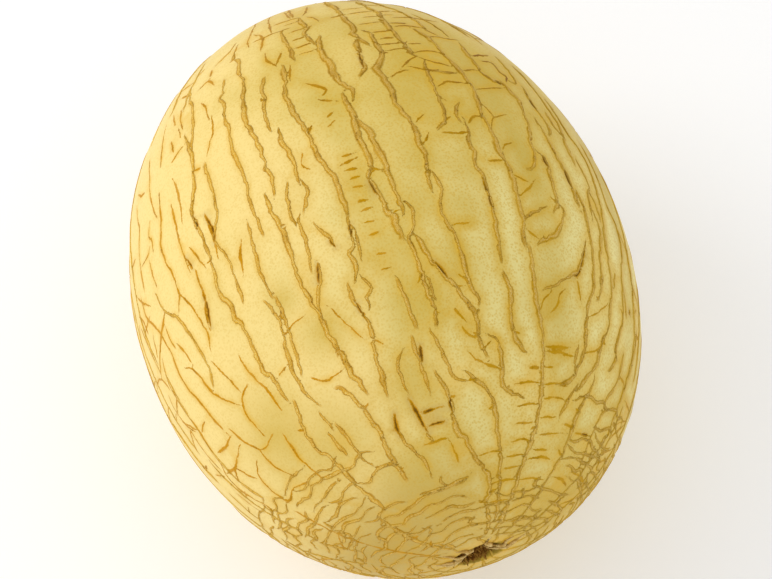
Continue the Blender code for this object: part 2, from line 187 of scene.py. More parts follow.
SLIM = (
    ((131.5, -47), (125.5, -45), (123, -43), (119.5, -42.5), (116.5, -42), (110.5, -42.5)),
    ((106, -39), (102.5, -38.5), (97.5, -38), (93.5, -38.5), (91.5, -40), (89.5, -41), (86, -39.5),
     (83, -39), (77.5, -39.5), (75.5, -40)),
    ((125, -32), (120.5, -32), (119.5, -33), (116, -31.5), (113.5, -32), (110, -31), (105, -31),
     (100, -30), (96, -29.5), (92.5, -30), (88, -29.5), (85, -29.5)),
    ((89.5, -32), (87, -32), (84, -32.5), (80, -33), (77.5, -33), (73.5, -32.5)),
    ((75, -35), (70.5, -33.5), (67.5, -34), (65, -35), (61.5, -36), (59, -36.5), (54.5, -36), (52, -34.5)),
    ((74.5, -32), (70.5, -32), (67, -32.5), (63, -33.5), (58.5, -35)),
    ((86.5, -20), (84.5, -21), (81, -21), (78, -21.5), (74.5, -22.5)),
    ((76.5, -20), (74.5, -20.5), (72, -22), (69.5, -23.5), (66.5, -24)),
    ((92, -17.5), (90, -17), (88, -18), (85.5, -19.5)),
    ((84, -18), (82, -17.5), (80, -16), (78, -15.5)),
    ((71, -15.5), (68.5, -16), (65, -15)),
    ((79.5, -10), (73.5, -11)),
    ((71.5, -12.5), (68.5, -11), (67.5, -12.5), (65, -13)),
    ((58.5, -1), (54.5, 0), (50.5, 1), (48, 2), (47, 5)),
    ((67.5, 2), (63, 2.5)),
    ((101.5, 24.5), (98.5, 22), (96, 22.5)),
    ((58.5, -6), (54, -6), (46, -6)),
    ((56, -9), (54.5, -11), (52, -12), (48, -12)),
    ((51.5, -36), (47, -35.5)),
    ((47, -37.5), (41, -37)),
    ((48.5, -34), (45.5, -33.5), (39.5, -33.5), (36.5, -32)),
    ((41, -19), (38, -18.6), (35.5, -16.8), (32, -15.6), (29, -16)),
    ((39, -11), (36.8, -10.4)),
    ((45, 45), (42, 42.5), (39.5, 40.5), (37, 39)),
    ((52.5, 43.5), (50, 42.5), (46.5, 42.5)),
    ((91.5, 56.5), (88.5, 57.5), (85.5, 58), (84, 56), (78, 54.5)),
    ((84.5, 57), (81.5, 58.5), (78.5, 58.5)),
    ((102.5, 53.5), (99.5, 53), (96, 55)),
    ((69, 61.5), (65.5, 60)),
    ((65, 67), (61, 67.5)),
    ((54, 67), (49, 66.5), (46, 65), (44, 62.5), (41, 61)),
    ((41.5, 65), (40, 62.5), (37.5, 61), (34, 61), (31.5, 62.5), (28, 65)),
    ((90, -64), (86.5, -63), (85.5, -62.5), (83.5, -60), (82, -58.5), (79, -57.5), (75.5, -56.5),
     (70.5, -56.5), (68, -58), (67, -59)),
    ((75.5, 30), (77, 32), (78, 35.5), (79, 38.5)),
    ((109.5, 22), (109, 28)),
    ((62.5, 32), (63.5, 36), (65.5, 41.5), (66.5, 44.5), (68.5, 46), (71.5, 48.5), (73.5, 49.5)),
)
LINES = (
    ((93, -41.5), (90, -41), (86, -41.5)),
    ((87, -34.5), (84, -36), (80.5, -37)),
    ((68, -21.5), (65, -20), (62.5, -18.5), (60, -17)),
    ((120, -12.5), (114.5, -13.5)),
    ((68.5, -47), (66, -47), (62.5, -46), (60, -45), (55.5, -45)),
    ((63.5, -48.5), (62.5, -51.5), (61, -53.5), (58.5, -54.5), (53.5, -54)),
    ((71.5, -55), (68, -53.5), (65.5, -52.5), (63, -52)),
    ((85.5, -55.5), (83.5, -54), (80, -52.5), (75.5, -52), (72.5, -53.5)),
    ((92, -48.5), (89.5, -47), (86, -45.5)),
    ((87.5, -48.5), (84, -48.5), (81.5, -48.5), (79, -50), (75.5, -51)),
    ((102.5, -51), (98, -50.5), (94, -50.5), (87.5, -50)),
    ((108, -50), (105, -48.5), (100.5, -48), (97, -48.5)),
    ((107.5, -55), (100.5, -55.5), (96.5, -57), (92.5, -56.5), (90, -55.5), (85.5, -55.5), (82.5, -58)),
    ((119.5, -62.5), (114, -60.5), (109, -59.5), (105, -58), (102, -56.5)),
    ((104, -60), (101, -61.5), (99.5, -60.5), (97, -60.5)),
    ((97, -63), (94, -63), (90.5, -62.5)),
    ((85.5, -62.5), (84, -65), (83, -67.5), (82, -69.5), (80.5, -73), (79, -76), (78, -77.5)),
    ((94, -72), (89, -72), (86, -69.5), (84, -68), (81, -67), (78, -66.5), (74.5, -67.5), (70.5, -67),
     (68, -66), (65, -65.5), (62, -65), (58.5, -64)),
    ((112, -69), (107.5, -67.5), (105, -66.5), (100.5, -68), (97.5, -68.5), (92.5, -69)),
    ((92, -78), (89.5, -75), (86, -74)),
    ((90.5, -79), (87.5, -78), (83, -77), (80, -76.5), (78, -77)),
    ((85, -71.5), (81, -74)),
    ((80, -71.5), (76, -74.5), (69, -74.5), (65, -74), (60.5, -75.5), (57.5, -76.5), (55.5, -79), (53, -80),
     (49, -79), (45.5, -77), (43.5, -77.5)),
    ((75.5, -78.5), (72.5, -80), (68.5, -79), (66.5, -77.5), (65, -75.5)),
    ((64, -84.5), (65.5, -82.5), (66.5, -78.5), (62.5, -79.5), (56.5, -79.5)),
    ((74.5, -64.5), (73, -62), (70, -60.5), (67, -60), (64.5, -58), (62.5, -56), (61, -54)),
    ((79, -63), (76.5, -61.5), (73.5, -61)),
    ((83.5, -64.5), (80, -64.5), (78, -64)),
    ((59.5, -62.5), (56.5, -61.5), (54, -60), (52, -57), (53, -51.5)),
    ((52.5, -59), (48, -59), (44.5, -56.5)),
    ((51.5, -62.5), (49.5, -66.5), (46.5, -68), (43, -68), (41.5, -66.5), (42.5, -61), (41.5, -54.5)),
    ((40, -70), (37.5, -69.5), (33, -69.5), (28, -70), (18, -70), (8, -71)),
    ((52, -49), (48.5, -49.5), (46, -50), (40, -49.5)),
    ((52.5, -84), (46, -83.5)),
    ((58.5, -85.5), (57, -83), (56, -80.5)),
    ((80, -85.5), (79.5, -81.5), (78, -77.5), (74.5, -75.5)),
    ((122, -40), (120, -38), (117, -37), (115, -36.5)),
    ((116, -35.5), (111.5, -35.5), (109.5, -36.5), (106.5, -38)),
    ((127.5, -41.5), (128, -38), (124.5, -35)),
    ((132, -38), (129, -37.5)),
    ((127.5, -18.5), (124.5, -18.5), (120.5, -16)),
    ((125, -14), (121, -16)),
    ((151.5, -27), (147.5, -25), (142, -24.5), (136, -25), (132.5, -24)),
    ((139.5, -24), (135, -19.5), (128.5, -20)),
    ((152, -18.5), (146, -18), (140, -17), (135, -16)),
    ((149.5, -10.5), (143, -9.5), (140, -8.5)),
    ((153, -8.5), (146, -8), (140.5, -7.5)),
    ((148, 0.5), (145, -1), (141.5, -2.5), (139.5, -4.5)),
    ((139.5, -30.5), (136, -32), (134.5, -34), (132.5, -37.5)),
    ((137.5, -29), (133, -29.5), (129.5, -28.5)),
    ((138.5, -3), (136.5, -1), (133.5, 0)),
    ((126, -52.5), (121, -49.5)),
    ((125, -48.5), (121, -47.5), (118, -46)),
    ((119.5, -48), (116, -46.5)),
    ((117.5, -50.5), (113.5, -49)),
    ((111.5, -50), (113.5, -45.5)),
    ((125, -55.5), (120, -55), (113, -54.5)),
    ((36, -5), (33, -4), (30, -4)),
    ((90, 30.5), (91.5, 32), (92, 34.5)),
    ((95, 30), (97.5, 32), (99, 37.5)),
    ((100.5, 31), (98, 32.5)),
    ((85, 31), (84, 34), (83.5, 35.5)),
    ((80.5, 30.5), (83, 35.5), (84.5, 37.5)),
    ((74, 30.5), (72.5, 33)),
    ((65, 44), (60.5, 44.5)),
    ((58.5, 30), (60.5, 31.5), (62.5, 35)),
    ((58, 33), (59.5, 36), (61.5, 37), (63, 39.5)),
    ((51.5, 30.5), (51.5, 40)),
    ((50.6, 31), (50.4, 39)),
    ((50, 37), (50, 42)),
    ((47.5, 31), (47.5, 34)),
    ((44, 30.5), (44.3, 35), (43.8, 40)),
    ((41.2, 30.5), (41.5, 36), (41, 40)),
    ((37.2, 30), (37.4, 38)),
    ((33.2, 30), (33.8, 38), (34, 45)),
    ((30.3, 30), (30, 38)),
    ((28, 28), (28.4, 35), (28, 42)),
    ((34.5, 49), (34.5, 57), (35, 61)),
    ((36, 42), (35.5, 47.5)),
    ((58, 47.5), (59, 50.5), (60.5, 54), (62, 56.5)),
    ((51, 46), (51.5, 50), (53, 53.5), (55.5, 55.5)),
    ((49, 67), (48, 72.5)),
    ((39.5, 75), (41.5, 80), (44, 88)),
    ((33.5, 74), (34, 79), (36.5, 86)),
    ((88, 25), (88, 29.5)),
    ((94.5, 16), (94, 22.5)),
    ((96, 24), (97.5, 26), (98, 29)),
    ((105, 20.5), (106.5, 24), (106, 30)),
    ((115.5, 20.5), (116, 25.5), (114.5, 29)),
    ((114, 20.5), (112.5, 23.5), (111, 28)),
    ((111.5, 16), (110, 21), (110, 24.5)),
    ((109, 10), (110, 12.5), (110.5, 16)),
    ((114.5, 21), (113, 17), (111, 14)),
    ((118.5, 20), (118.5, 24.5)),
    ((126, 20.5), (126, 26.5), (125, 31)),
    ((127.5, 20.5), (127.3, 26)),
    ((132, 21.5), (132.2, 26)),
    ((134.5, 21.5), (134.8, 27.5)),
    ((130.3, 23), (130.8, 32), (130.3, 42)),
    ((124.5, 31), (122, 33)),
    ((121.7, 29), (121.2, 40)),
    ((110, 31), (110.5, 34), (110.5, 37)),
    ((104.5, 31), (105.5, 36), (106, 41.5)),
    ((115.5, 39), (117, 47)),
    ((114, 40.5), (114, 45)),
    ((114.5, 45), (111, 44.5), (110, 46), (108, 44)),
    ((131.5, 14), (131.5, 19)),
    ((128.2, 11), (128.4, 19)),
    ((124, 12.5), (124.2, 18.5)),
    ((121.3, 14.5), (121.3, 18)),
    ((119, 12), (119.2, 19.5)),
    ((117, 12.5), (117.2, 19)),
    ((134.5, 10), (134.9, 20)),
    ((137.8, 10), (138, 19.5)),
    ((134, 4), (134, 8)),
    ((139.3, -16), (139.5, -5)),
    ((136.8, -12), (137, -6)),
    ((134.3, -23), (134.5, -9)),
    ((113, -10), (110, -6), (108.5, -7)),
    ((108, -8.5), (106.5, -5)),
    ((103, -8), (104, -6)),
    ((101, -8.5), (102, -6)),
    ((36.5, -14), (36.5, -5)),
    ((47.5, 25), (47.5, 29)),
    ((44.5, 18.5), (44.7, 24), (44.5, 29)),
    ((40, 20.5), (40.3, 25), (40, 29)),
    ((36.3, 20), (36.3, 28)),
    ((32.4, 18), (32.8, 23), (32.4, 27.5)),
    ((30.8, 4.5), (31, 10), (30.8, 15)),
    ((29.2, 17), (29.2, 26)),
    ((26.5, 16), (26.5, 24.5)),
    ((23.3, 10), (23.6, 17), (23.3, 24)),
    ((18.2, 9), (18.2, 24)),
    ((67, -34), (68, -31), (68.5, -27.5)),
    ((58, -33), (56, -30), (56.5, -25)),
    ((61, -40.5), (62, -37)),
    ((76, 11.5), (76, 16)),
    ((97.5, 11.5), (99, 14)),
    ((93, 11.5), (95, 13.5)),
    ((105.5, -43), (105, -40)),
    ((97.5, -15.5), (95, -16.5), (93.5, -15)),
    ((64, -73.5), (64.5, -68.5)),
    ((59, -74), (58, -68.5), (58.5, -63.5)),
    ((55.5, -78), (54.5, -74), (54.5, -70), (56, -63)),
    ((54.5, -72), (51, -70), (49, -68)),
    ((71.5, -85), (72, -81.5)),
    ((97.5, -68), (97.5, -63.5), (99, -61.5)),
    ((114, -68.5), (112, -65.5), (111.5, -62.5)),
    ((61, 6), (58, 8.5)),
    ((57.5, 7), (55.5, 8.5), (54.5, 10.5)),
    ((52.5, 7), (50, 10), (48, 16)),
    ((26, 61), (26.4, 73), (26, 86)),
    ((24, 48), (24, 57), (23, 67)),
    ((23.2, 27), (23.4, 36), (23, 45)),
    ((132, -10), (132.3, -5)),
    ((128, -10), (128.2, -5)),
    ((124.8, -10), (125, -5)),
    ((122, -9.5), (122.3, -5)),
)
# Short open cracks, dark brown inside
DARK = (
    ((90.5, -50), (87.5, -49)),
    ((96.5, -44.9), (93.5, -44.4)),
    ((88, -3.7), (84.5, -2.8)),
    ((118, 5.8), (113, 5.1)),
    ((70, 4.6), (66.5, 6.8)),
    ((84, 22.4), (78, 22.5)),
    ((108, 40), (107, 41.5)),
    ((90, 42.4), (87.5, 43)),
    ((88, 48.7), (84, 49.4)),
    ((105.5, 49.2), (102, 49)),
    ((72.5, 49), (70, 47.5), (68.5, 46.5), (67, 45.5)),
    ((67.6, 46), (66, 44.4), (65.5, 42.5)),
    ((34.5, 54), (34.7, 60)),
    ((81, -10.7), (78.5, -11.4)),
    ((79.5, -16), (77.6, -15.4)),
    ((95.5, -41.6), (93, -41), (91, -40.5), (89, -41.3)),
    ((83, -48.4), (80, -49), (77.5, -50), (75.8, -50.4)),
    ((76.5, -20.2), (72.5, -21.8)),
    ((67, -15.6), (63.5, -14.8)),
    ((46.5, -12.3), (44, -11.7), (41, -11.2), (38.5, -10.8)),
    ((45, -17.6), (42.5, -18.9), (40, -19.2)),
    ((44.8, -1), (41.2, -1.2)),
    ((43, -10), (43, -6)),
    ((40, -10), (40, -4)),
    ((63.5, 70), (62.4, 71)),
    ((56, -4.6), (52.5, -5.4)),
)
# Deeper golden patches of the skin as (along, around, reach in millimetres)
GOLDEN_PATCHES = (
    (64, 0, 12), (72, 1, 13), (81, 5, 12), (91, 9, 12), (101, 13, 12), (98, 23, 13), (112, 18, 14),
    (110, 45, 15), (99, 54, 14), (124, 28, 12), (52, -49, 15), (46, -38, 14), (30, -24, 13), (73, -31, 5),
    (87, 18, 10), (97, 22, 8), (70, 9, 12), (48, -10, 10), (64, -25, 8), (79, 15, 9),
)
# A ladder of short ticks on top: where they lie along, the middle of them all around, and how far they reach
TICK_PLACES = (94, 92.5, 91, 89, 87.4, 84.4, 82.4, 80.3, 77.8, 73.9, 71)
TICK_AROUND = -6.3
TICK_REACHES = (-1.4, 1.2)
TICK_SLANT = 0.3

# Cork by the kind of crack: half width, height, how pale its crest is, rows of faces beside it as shares of
# the half width, step along it, and how far it jumps sideways at its kinks
KINDS = ("broad", "cord", "slim", "line", "ring", "dark")
HALF_WIDTHS = {
    "broad": 0.00082, "cord": 0.00061, "slim": 0.00046, "line": 0.00034, "ring": 0.00040, "dark": 0.00060,
}
RISES = {
    "broad": 0.00040, "cord": 0.00030, "slim": 0.00020, "line": 0.00010, "ring": 0.00030, "dark": -0.00035,
}
PALENESS = {"broad": 1.0, "cord": 0.95, "slim": 0.80, "line": 0.0, "ring": 0.90, "dark": 0.0}
ROWS = {
    "broad": (0.5, 1.0, 1.7), "cord": (0.6, 1.1, 2.0), "slim": (1.0, 2.2), "line": (1.2, 2.8),
    "ring": (1.1, 2.4), "dark": (0.6, 1.3),
}
STEPS = {"broad": 0.0010, "cord": 0.0010, "slim": 0.0011, "line": 0.0012, "ring": 0.0012, "dark": 0.0008}
KINKS = {
    "broad": 0.00040, "cord": 0.00040, "slim": 0.00034, "line": 0.00022, "ring": 0.00030, "dark": 0.00012,
}
KINK_LENGTHS = (0.003, 0.008)
THIN_TO_THICK = (0.62, 1.25)
SWELL_LENGTH = 0.005
TIP = 0.004
TIP_SHARE = 0.3
TIP_WIDTH = 0.45
DOME_POWER = 0.8

# Lanes of seeded cracks on the sides and the underside, in degrees, as in the part's own source
STRETCHES = (
    ((76, 286), (156, 24), (132, 46)),
    ((290, 312), (158, 126), (138, 124)),
    ((30, 74), (156, 124), (140, 122)),
)
LANE = 7.2
LANE_STARTS = 6
LANE_WANDER = 2.6
LANE_STEPS = (5, 8)
LANE_DRIFT = 1.5
LANE_PULL = 0.3
CRACK_LENGTHS = (16, 52)
CRACK_BREAKS = (2, 7)

# Short branches: their chance at each point of a long crack, how far they reach, and where they bend as
# shares of their fall and their reach
HIDDEN_BRANCHES = (0.7, (2, 8))
SHOWN_BRANCHES = (0.22, (0.8, 2.0))
BRANCH_BEND = (0.6, 0.55)

# Rings of cross cracks round the stem scar, in degrees along and around, and how far along they go at a turn
RING_ZONE = (10.5, 46)
RING_SPACINGS = (1.7, 2.5)
RING_FIRST = (0, 25)
RING_REACHES = (8, 26)
RING_BREAKS = (1, 10)
RING_WAVE = 2.6
RING_WAVE_HEIGHT = 0.9
RING_FORKS = 0.4
FORK_RISES = (1.1, 2.3)
FORK_LEAN = 1.5
RING_LIMITS = (
    (-70, 46), (-60, 45), (-48, 41), (-36, 35.5), (-26, 31.5), (-14, 28), (6, 27), (10, 22), (50, 22),
    (54, 42),
)

# Cords that run in over the stem scar's rim, and fine cracks that run towards the blossom scar, in degrees
SCAR_SPOKES = 13
SCAR_SPOKE_STARTS = (9, 22)
SCAR_SPOKE_ENDS = (4.2, 5.4)
BLOSSOM_SPOKES = 34
BLOSSOM_SPOKE_STARTS = (150, 164)
BLOSSOM_SPOKE_LENGTHS = (5, 14)
BLOSSOM_SPOKE_END = 174

# Soft furrows between the panels of the skin, by their turns in degrees
FURROWS = (-118, -84, -45, -6, 36, 70, 104, 140, 176, 210)
FURROW_WIDTH = 5.0
FURROW_DEPTH = 0.0004

# Points of the skin: the step between those of the bare skin and of the stem scar, how far they keep off the
# cracks, which a row beside a crack counts in its own reach, and the ring of points that closes the skin at
# the blossom end. In an even spread each point takes POINT_AREA of its step squared, and the skin's area is
# SKIN_OVER_BALL times that of a ball.
SKIN_STEP = 0.0021
SCAR_STEP = 0.00065
SCAR_CLEARANCE = 0.0006
SCAR_REACH = 0.0115
ROW_CLEARANCE = 0.8
POINT_AREA = 0.87
SKIN_OVER_BALL = 1.12
FAR_RING = 0.0009
FAR_SIDES = 9
FAR_ANGLE = 2 * FAR_RING / GIRTH

# The step between the places that are kept of each crack, and the gap between the runs of two cracks
SAMPLE_STEP = 0.00025
RUN_GAP = 0.01

# Floor and light. The light's place is counted in the camera's directions: right, up and back.
FLOOR_HALF = 3.0
FLOOR_GLOW = 0.16
KEY_PLACE = (-0.95, 0.55, 0.75)
KEY_TARGET = (0, 0, 0.08)
KEY_SIZE = 0.7
KEY_POWER = 4.5
SURROUNDINGS = 0.80


def body_points(along, around):
    """Points of the smooth body for arrays of along and around, both in radians."""
    swell = 1 + STEM_FULLNESS * np.cos(along) + SHOULDERS * np.cos(2 * along) + TAPER * np.cos(3 * along)
    oval = OVAL * np.cos(2 * (around - math.radians(OVAL_TURN)))
    radius = GIRTH / 2 * np.sin(along) * (swell + oval)
    bow = BOW * GIRTH / 2 * np.sin(along) ** 2
    return np.stack([
        radius * np.sin(around) + bow,
        -LENGTH / 2 * np.cos(along),
        radius * np.cos(around),
    ], axis=-1)


def to_map(along, around):
    """Lays the skin out flat around the stem, so that small shapes keep their form."""
    reach = np.tan(along / 2)
    return np.stack([reach * np.sin(around), reach * np.cos(around)], axis=-1)


def from_map(flat):
    """The angles along and around of places on that map."""
    along = 2 * np.arctan(np.hypot(flat[:, 0], flat[:, 1]))
    around = np.arctan2(flat[:, 0], flat[:, 1])
    return along, around


def rested_shift():
    """How far the body is moved so that it lies on z = 0 about the origin."""
    along, around = np.meshgrid(np.radians(np.arange(0, 181)), np.radians(np.arange(0, 360)))
    places = body_points(along, around).reshape(-1, 3)
    low, high = places.min(axis=0), places.max(axis=0)
    return np.array([-(low[0] + high[0]) / 2, -(low[1] + high[1]) / 2, -low[2] - FLAT_DEPTH])


SHIFT = rested_shift()


def smooth(share):
    """A share that is held between 0 and 1 and eased at both."""
    share = np.clip(share, 0, 1)
    return share * share * (3 - 2 * share)


def from_scar(places):
    """Distances of places on the smooth body from the middle of the stem scar."""
    return np.linalg.norm(places - body_points(*np.radians(SCAR_PLACE)), axis=-1)


def about_scar(crack):
    """A crack given round the stem scar, in the body's own (along, around) degrees."""
    along, around = np.radians(np.array(crack, float)).T
    pull = smooth((SCAR_PULL[1] - np.degrees(along)) / (SCAR_PULL[1] - SCAR_PULL[0]))
    moved = to_map(along, around) + pull[:, None] * to_map(*np.radians(SCAR_PLACE))
    along, turned = from_map(moved)
    return np.degrees(np.stack([along, np.unwrap(turned)], axis=1))


def smooth_way(crack, step):
    """A smooth line through the crack's points, as (along, around) in radians at even steps."""
    corners = np.radians(np.array(crack, float))
    padded = np.concatenate([[2 * corners[0] - corners[1]], corners, [2 * corners[-1] - corners[-2]]])
    share = np.linspace(0, 1, 12, endpoint=False)[:, None]
    fine = []
    for before, start, end, after in zip(padded, padded[1:], padded[2:], padded[3:]):
        fine.append(0.5 * (
            2 * start + (end - before) * share
            + (2 * before - 5 * start + 4 * end - after) * share ** 2
            + (3 * start - before - 3 * end + after) * share ** 3
        ))
    fine = np.concatenate(fine + [corners[-1:]])
    places = body_points(fine[:, 0], fine[:, 1])
    run = np.concatenate([[0], np.cumsum(np.linalg.norm(np.diff(places, axis=0), axis=1))])
    even = np.linspace(0, run[-1], max(2, round(run[-1] / step) + 1))
    return np.stack([np.interp(even, run, fine[:, 0]), np.interp(even, run, fine[:, 1])], axis=1)


def kinked(rng, kind, way):
    """The way with small sideways jumps, since cork heals unevenly."""
    run = np.arange(len(way)) * STEPS[kind]
    knots, jumps = [0.0], [0.0]
    lean = rng.choice((-1, 1))
    while knots[-1] < run[-1]:
        start = knots[-1]
        end = start + rng.uniform(*KINK_LENGTHS)
        knots += [start + STEPS[kind], end]
        jumps += [-lean * rng.uniform(0.2, 1), lean * rng.uniform(0.2, 1)]
    reach = KINKS[kind] / (GIRTH / 2) * np.interp(run, knots, jumps)
    turn = np.arctan2(np.gradient(way[:, 0]), np.gradient(way[:, 1]) * np.sin(way[:, 0]))
    return np.stack([
        way[:, 0] + reach * np.cos(turn),
        way[:, 1] - reach * np.sin(turn) / np.sin(way[:, 0]),
    ], axis=1)


def lane_crack(rng, along, end, lane):
    """A crack that wanders along its lane towards the stem."""
    crack = []
    around = lane + rng.uniform(-LANE_WANDER, LANE_WANDER)
    while along > end:
        crack.append((along, around))
        spread = 1 / math.sin(math.radians(along))
        around += rng.uniform(-LANE_DRIFT, LANE_DRIFT) * spread + LANE_PULL * (lane - around)
        along -= rng.uniform(*LANE_STEPS)
    crack.append((end, around))
    return crack


def hidden_cracks():
    """Long cracks for the sides and the underside, which follow the same habit as those on top."""
    rng = random.Random(SEED)
    cracks = []
    for places, *reaches in STRETCHES:
        for number, lane in enumerate(np.arange(*places, LANE)):
            top, bottom = reaches[number % 2]
            along = top + rng.uniform(-LANE_STARTS, LANE_STARTS)
            while along > bottom + CRACK_BREAKS[1]:
                end = max(bottom, along - rng.uniform(*CRACK_LENGTHS))
                cracks.append(lane_crack(rng, along, end, float(lane)))
                along = end - rng.uniform(*CRACK_BREAKS)
    return cracks


def branches(rng, cracks, chance, reaches):
    """Short thin cracks that leave the long ones at a slant."""
    found = []
    for crack in cracks:
        for along, around in crack[1:-1]:
            if rng.random() < chance:
                turn = rng.choice((-1, 1)) / math.sin(math.radians(along))
                reach = rng.uniform(*reaches)
                fall = rng.uniform(-reach, reach)
                found.append((
                    (along, around),
                    (along + BRANCH_BEND[0] * fall, around + BRANCH_BEND[1] * reach * turn),
                    (along + fall, around + reach * turn),
                ))
    return found


def ring_limit(around):
    """How far along the rings go at a turn: less far on the shown side, as in the photo."""
    turns, limits = zip(*RING_LIMITS)
    return np.interp((around + 180) % 360 - 180, turns, limits)


def ring_piece(rng, along, around, reach):
    """One wavy piece of a ring that starts at this turn, with or without a fork from its middle."""
    narrowing = math.sin(math.radians(along))
    parts = max(2, round(reach / RING_WAVE * narrowing))
    wave = [rng.uniform(-RING_WAVE_HEIGHT, RING_WAVE_HEIGHT) for _ in range(parts + 1)]
    ring = [(along + rise, around + reach * number / parts) for number, rise in enumerate(wave)]
    pieces = [about_scar(ring)]
    if rng.random() < RING_FORKS:
        start = ring[parts // 2]
        lean = rng.uniform(-FORK_LEAN, FORK_LEAN) / narrowing
        fork = [start, (start[0] + FORK_RISES[0], start[1] + lean), (start[0] + FORK_RISES[1], start[1])]
        pieces.append(about_scar(fork))
    return pieces


def stem_rings(rng):
    """Cross cracks that ring the stem end, one above the other."""
    rings = []
    along, last = RING_ZONE
    while along < last:
        around = rng.uniform(*RING_FIRST)
        while around < 360:
            reach = rng.uniform(*RING_REACHES) / math.sin(math.radians(along))
            if along < ring_limit(around + reach / 2):
                rings += ring_piece(rng, along, around, reach)
            around += reach + rng.uniform(*RING_BREAKS)
        along += rng.uniform(*RING_SPACINGS)
    return rings


def scar_spokes(rng):
    """Cords that run in over the rim of the stem scar."""
    spokes = []
    for number in range(SCAR_SPOKES):
        around = number * 360 / SCAR_SPOKES + rng.uniform(-9, 9)
        start = rng.uniform(*SCAR_SPOKE_STARTS)
        spokes.append(about_scar([
            (start, around + rng.uniform(-6, 6)),
            (0.6 * start + 2.4, around + rng.uniform(-3, 3)),
            (rng.uniform(*SCAR_SPOKE_ENDS), around),
        ]))
    return spokes


def blossom_spokes(rng):
    """Fine cracks that run towards the blossom scar."""
    spokes = []
    for number in range(BLOSSOM_SPOKES):
        around = (number + rng.uniform(-0.3, 0.3)) * 360 / BLOSSOM_SPOKES
        start = rng.uniform(*BLOSSOM_SPOKE_STARTS)
        end = min(start + rng.uniform(*BLOSSOM_SPOKE_LENGTHS), BLOSSOM_SPOKE_END)
        spokes.append([
            (start, around + rng.uniform(-4, 4)),
            ((start + end) / 2, around + rng.uniform(-5, 5)),
            (end, around),
        ])
    return spokes


def tick_ladder(rng):
    """Short ticks across the top of the fruit, one after the other."""
    start, end = (TICK_AROUND + reach for reach in TICK_REACHES)
    return [((along, start), (along + rng.uniform(-TICK_SLANT, TICK_SLANT), end)) for along in TICK_PLACES]


def all_cracks():
    """Every crack as (kind, way), with the way in (along, around) radians."""
    rng = random.Random(SEED + 1)
    hidden = hidden_cracks()
    ticks = tick_ladder(rng)
    slim = [*SLIM, *hidden[1::2], *scar_spokes(rng)]
    lines = [*LINES, *ticks, *blossom_spokes(rng)]
    lines += branches(rng, hidden, *HIDDEN_BRANCHES)
    lines += branches(rng, BROAD + CORDS, *SHOWN_BRANCHES)
    groups = (
        ("broad", BROAD),
        ("cord", [*CORDS, *hidden[::2]]),
        ("slim", slim),
        ("line", lines),
        ("ring", stem_rings(rng)),
        ("dark", DARK),
    )
    found = []
    for kind, cracks in groups:
        for crack in cracks:
            found.append((kind, kinked(rng, kind, smooth_way(crack, STEPS[kind]))))
    return found


class CrackMemory:
    """Close places along every crack, to find the nearest to a point of the skin.

    Each has its run along the crack, the crack's direction, half width and kind, and a fade that falls to 0
    at the crack's ends.
    """

    def __init__(self, cracks):
        places, runs, tangents, widths, kinds, fades = [], [], [], [], [], []
        rng = random.Random(SEED + 3)
        total = 0.0
        for kind, way in cracks:
            parts = max(2, round(STEPS[kind] / SAMPLE_STEP))
            steps = np.arange(0, len(way) - 1 + 1e-6, 1 / parts)
            numbers = np.arange(len(way))
            fine = np.stack([np.interp(steps, numbers, angles) for angles in way.T], axis=1)
            line = body_points(fine[:, 0], fine[:, 1])
            run = np.concatenate([[0], np.cumsum(np.linalg.norm(np.diff(line, axis=0), axis=1))])
            tip = min(TIP, TIP_SHARE * run[-1])
            end_share = np.clip(np.minimum(run, run[-1] - run) / tip, 0, 1)
            knots = np.arange(0, run[-1] + 2 * SWELL_LENGTH, SWELL_LENGTH)
            swell = np.interp(run, knots, [rng.uniform(*THIN_TO_THICK) for _ in knots])
            places.append(line)
            runs.append(run + total)
            tangents.append(np.gradient(line, axis=0))
            widths.append(HALF_WIDTHS[kind] * swell * (TIP_WIDTH + (1 - TIP_WIDTH) * end_share))
            fades.append(end_share)
            kinds.append(np.full(len(line), KINDS.index(kind)))
            total += run[-1] + RUN_GAP
        self.places = np.concatenate(places)
        self.runs = np.concatenate(runs)
        self.tangents = np.concatenate(tangents)
        self.widths = np.concatenate(widths)
        self.fades = np.concatenate(fades)
        self.kinds = np.concatenate(kinds)
        self.tree = kdtree.KDTree(len(self.places))
        for index, place in enumerate(self.places):
            self.tree.insert(place, index)
        self.tree.balance()

    def nearest(self, places):
        """For each point, the number of the nearest place on a crack and the distance to it."""
        found = [self.tree.find(place)[1:] for place in places]
        return np.array([hit[0] for hit in found]), np.array([hit[1] for hit in found])


def side_rows(kind, way):
    """Map points in rows beside a crack, where its cork and its edges need faces."""
    if len(way) < 3:
        return []
    places = to_map(way[:, 0], way[:, 1])
    run = np.gradient(places, axis=0)
    side = np.stack([-run[:, 1], run[:, 0]], axis=1)
    side /= np.linalg.norm(side, axis=1, keepdims=True)
    stretch = 1 / (2 * np.cos(way[:, 0] / 2) ** 2) / (GIRTH / 2)
    rows = []
    for share in ROWS[kind]:
        reach = share * HALF_WIDTHS[kind]
        offset = side * (stretch * reach)[:, None]
        rows += [(reach, places + offset), (reach, places - offset)]
    return rows


def even_skin(step):
    """Points spread evenly over the whole body, by the golden angle."""
    count = round(4 * math.pi * (GIRTH / 2) ** 2 * SKIN_OVER_BALL / (POINT_AREA * step ** 2))
    number = np.arange(count) + 0.5
    return np.arccos(1 - 2 * number / count), number * math.pi * (3 - math.sqrt(5))


